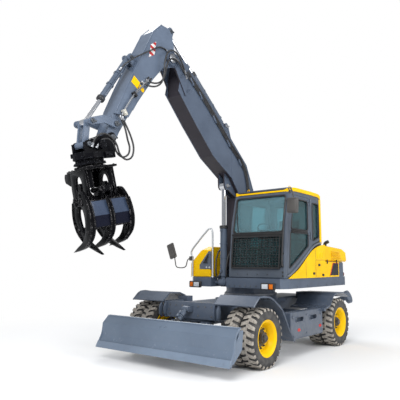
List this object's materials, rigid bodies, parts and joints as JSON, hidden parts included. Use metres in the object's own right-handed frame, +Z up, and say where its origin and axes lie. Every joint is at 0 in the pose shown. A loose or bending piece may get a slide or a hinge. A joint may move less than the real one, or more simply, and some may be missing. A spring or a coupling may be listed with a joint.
{
  "type": "wheeled excavator",
  "caption": "Wheeled excavator with twin tyres, a slewing upper body with cab, a bent boom and arm, a rotating log grapple, a front blade and rear stabilisers.",
  "frame": {"origin": "on the ground under the middle of the whole machine", "axes": "+Z up, the blade and working arm towards -Y, the cab on the +X side"},
  "size_m": [2.76, 6.1647, 5.43],
  "materials": {
    "slate": "satin grey-blue paint",
    "yellow": "satin yellow paint",
    "black": "glossy black paint",
    "tyre": "dusty rubber",
    "iron": "painted castings",
    "chrome": "polished",
    "glass": "tinted safety glass",
    "trim": "matt black"
  },
  "bodies": {
    "chassis": {"chassis_frame": "slate", "front_axle": "iron", "rear_axle": "iron", "side_step_left": "slate", "side_step_right": "slate"},
    "knuckle_left": {"knuckle_left": "iron"},
    "knuckle_right": {"knuckle_right": "iron"},
    "wheel_front_left": {"wheel_front_left": "tyre"},
    "wheel_front_right": {"wheel_front_right": "tyre"},
    "wheel_rear_left": {"wheel_rear_left": "tyre"},
    "wheel_rear_right": {"wheel_rear_right": "tyre"},
    "blade": {"blade": "slate"},
    "blade_barrel": {"blade_barrel": "slate"},
    "blade_rod": {"blade_rod": "chrome"},
    "outrigger_left": {"outrigger_left": "slate"},
    "outrigger_right": {"outrigger_right": "slate"},
    "upper": {"deck": "slate", "tank_housing": "yellow", "engine_bay": "yellow", "engine_block": "iron", "counterweight": "slate", "side_skirt": "yellow", "cab_shell": "slate", "quarter_window": "glass", "side_window": "glass", "windscreen": "glass", "lower_window": "glass", "rear_window": "glass", "seat": "trim", "steering_column": "trim", "window_guard": "slate", "handrail": "trim", "mirror_left": "trim", "mirror_right": "trim"},
    "engine_hood": {"engine_hood": "yellow"},
    "door": {"door": "slate", "door_upper_glass": "glass", "door_lower_glass": "glass"},
    "boom": {"boom": "slate"},
    "boom_barrel": {"boom_barrel": "slate"},
    "boom_rod": {"boom_rod": "chrome"},
    "arm": {"arm": "slate"},
    "arm_barrel": {"arm_barrel": "slate"},
    "arm_rod": {"arm_rod": "chrome"},
    "tool": {"tool_bracket": "black"},
    "rocker": {"rocker_left": "slate", "rocker_right": "slate"},
    "tool_link": {"tool_link": "slate"},
    "tool_barrel": {"tool_barrel": "slate"},
    "tool_rod": {"tool_rod": "chrome"},
    "rotator": {"grapple_body": "black"},
    "claw_near": {"claw_near": "black"},
    "claw_far": {"claw_far": "black"},
    "grapple_barrel": {"grapple_barrel": "black"},
    "grapple_rod": {"grapple_rod": "chrome"}
  },
  "joints": [
    {"name": "slew", "type": "hinge", "parent": "chassis", "child": "upper", "pos_m": [0.08, 0.9, 0.985], "axis": [0, 0, 1], "continuous": true},
    {"name": "steer_left", "type": "hinge", "parent": "chassis", "child": "knuckle_left", "pos_m": [0.7, -0.6, 0.43], "axis": [0, 0, 1], "range_deg": [-22, 22]},
    {"name": "steer_right", "type": "hinge", "parent": "chassis", "child": "knuckle_right", "pos_m": [-0.54, -0.6, 0.43], "axis": [0, 0, 1], "range_deg": [-22.5, 22.5]},
    {"name": "spin_front_left", "type": "hinge", "parent": "knuckle_left", "child": "wheel_front_left", "pos_m": [1.074, -0.6, 0.43], "axis": [1, 0, 0], "continuous": true},
    {"name": "spin_front_right", "type": "hinge", "parent": "knuckle_right", "child": "wheel_front_right", "pos_m": [-0.914, -0.6, 0.43], "axis": [1, 0, 0], "continuous": true},
    {"name": "spin_rear_left", "type": "hinge", "parent": "chassis", "child": "wheel_rear_left", "pos_m": [1.074, 2.04, 0.43], "axis": [1, 0, 0], "continuous": true},
    {"name": "spin_rear_right", "type": "hinge", "parent": "chassis", "child": "wheel_rear_right", "pos_m": [-0.914, 2.04, 0.43], "axis": [1, 0, 0], "continuous": true},
    {"name": "blade_lift", "type": "hinge", "parent": "chassis", "child": "blade", "pos_m": [0.08, -0.96, 0.44], "axis": [-1, 0, 0], "range_deg": [-16, 14]},
    {"name": "blade_barrel_swing", "type": "hinge", "parent": "chassis", "child": "blade_barrel", "pos_m": [0.08, -0.95, 0.8], "axis": [-1, 0, 0], "range_deg": [-8.22, 7.25]},
    {"name": "blade_rod_slide", "type": "slide", "parent": "blade_barrel", "child": "blade_rod", "axis": [0, -0.7809, -0.6247], "range_m": [-0.0675, 0.0768]},
    {"name": "outrigger_left_fold", "type": "hinge", "parent": "chassis", "child": "outrigger_left", "pos_m": [0.54, 2.91, 0.62], "axis": [0, 1, 0], "range_deg": [0, 74]},
    {"name": "outrigger_right_fold", "type": "hinge", "parent": "chassis", "child": "outrigger_right", "pos_m": [-0.38, 2.91, 0.62], "axis": [0, -1, 0], "range_deg": [0, 74]},
    {"name": "hood_hinge", "type": "hinge", "parent": "upper", "child": "engine_hood", "pos_m": [0.08, 1.89, 1.86], "axis": [1, 0, 0], "range_deg": [0, 60]},
    {"name": "door_hinge", "type": "hinge", "parent": "upper", "child": "door", "pos_m": [1.1199, 1.33, 1.5], "axis": [0, 0, 1], "range_deg": [0, 165]},
    {"name": "boom_lift", "type": "hinge", "parent": "upper", "child": "boom", "pos_m": [-0.22, 0.85, 1.5], "axis": [-1, 0, 0], "range_deg": [-70, 8]},
    {"name": "boom_barrel_swing", "type": "hinge", "parent": "upper", "child": "boom_barrel", "pos_m": [-0.22, 0.46, 1.16], "axis": [-1, 0, 0], "range_deg": [-64.8, 7.85]},
    {"name": "boom_rod_slide", "type": "slide", "parent": "boom_barrel", "child": "boom_rod", "axis": [0, 0.0056, 1], "range_m": [-0.5815, 0.0682]},
    {"name": "arm_swing", "type": "hinge", "parent": "boom", "child": "arm", "pos_m": [-0.22, -1.2, 4.84], "axis": [1, 0, 0], "range_deg": [-55, 40]},
    {"name": "arm_barrel_swing", "type": "hinge", "parent": "boom", "child": "arm_barrel", "pos_m": [-0.22, 0.46, 4.1], "axis": [1, 0, 0], "range_deg": [-6.51, 4.87]},
    {"name": "arm_rod_slide", "type": "slide", "parent": "arm_barrel", "child": "arm_rod", "axis": [0, -0.7875, 0.6163], "range_m": [-0.428, 0.3118]},
    {"name": "tool_curl", "type": "hinge", "parent": "arm", "child": "tool", "pos_m": [-0.22, -2.4, 3.26], "axis": [-1, 0, 0], "range_deg": [-55, 55]},
    {"name": "rocker_swing", "type": "hinge", "parent": "arm", "child": "rocker", "pos_m": [-0.22, -2.36, 3.46], "axis": [-1, 0, 0], "range_deg": [-50, 50]},
    {"name": "tool_link_swing", "type": "hinge", "parent": "tool", "child": "tool_link", "pos_m": [-0.22, -2.81, 3.08], "axis": [-1, 0, 0], "range_deg": [-37.9, 37.9]},
    {"name": "tool_barrel_swing", "type": "hinge", "parent": "arm", "child": "tool_barrel", "pos_m": [-0.22, -2.02, 4.6], "axis": [-1, 0, 0], "range_deg": [-10.04, 10.04]},
    {"name": "tool_rod_slide", "type": "slide", "parent": "tool_barrel", "child": "tool_rod", "axis": [0, -0.54, -0.8416], "range_m": [-0.2752, 0.2752]},
    {"name": "rotator_turn", "type": "hinge", "parent": "tool", "child": "rotator", "pos_m": [-0.22, -2.66, 2.815], "axis": [0, -0.225, 0.9744], "continuous": true},
    {"name": "claw_near_open", "type": "hinge", "parent": "rotator", "child": "claw_near", "pos_m": [0.00553, -2.63425, 2.33858], "axis": [-0.342, -0.9156, -0.2114], "range_deg": [0, 50]},
    {"name": "claw_far_open", "type": "hinge", "parent": "rotator", "child": "claw_far", "pos_m": [-0.44553, -2.47429, 2.37551], "axis": [0.342, 0.9156, 0.2114], "range_deg": [-0.5, 50.5]},
    {"name": "grapple_barrel_swing", "type": "hinge", "parent": "claw_near", "child": "grapple_barrel", "pos_m": [0.21226, -2.73906, 2.45807], "axis": [-0.342, -0.9156, -0.2114], "range_deg": [-50.5, 0.5]},
    {"name": "grapple_rod_slide", "type": "slide", "parent": "grapple_barrel", "child": "grapple_rod", "axis": [-0.9397, 0.3333, 0.0769], "range_m": [-0.3772, 0.002]}
  ],
  "couplings": [
    {"joint": "steer_right", "follows": "steer_left", "ratio": 1},
    {"joint": "blade_barrel_swing", "follows": "blade_lift", "ratio": 0.4825},
    {"joint": "blade_rod_slide", "follows": "blade_lift", "m_per_rad": -0.2679},
    {"joint": "boom_barrel_swing", "follows": "boom_lift", "ratio": 0.9185},
    {"joint": "boom_rod_slide", "follows": "boom_lift", "m_per_rad": 0.4743},
    {"joint": "arm_barrel_swing", "follows": "arm_swing", "ratio": 0.1093},
    {"joint": "arm_rod_slide", "follows": "arm_swing", "m_per_rad": 0.4438},
    {"joint": "rocker_swing", "follows": "tool_curl", "ratio": 0.9},
    {"joint": "tool_link_swing", "follows": "tool_curl", "ratio": -0.68},
    {"joint": "tool_barrel_swing", "follows": "tool_curl", "ratio": 0.1735},
    {"joint": "tool_rod_slide", "follows": "tool_curl", "m_per_rad": -0.2846},
    {"joint": "claw_far_open", "follows": "claw_near_open", "ratio": 1},
    {"joint": "grapple_barrel_swing", "follows": "claw_near_open", "ratio": -1},
    {"joint": "grapple_rod_slide", "follows": "claw_near_open", "m_per_rad": -0.43}
  ]
}
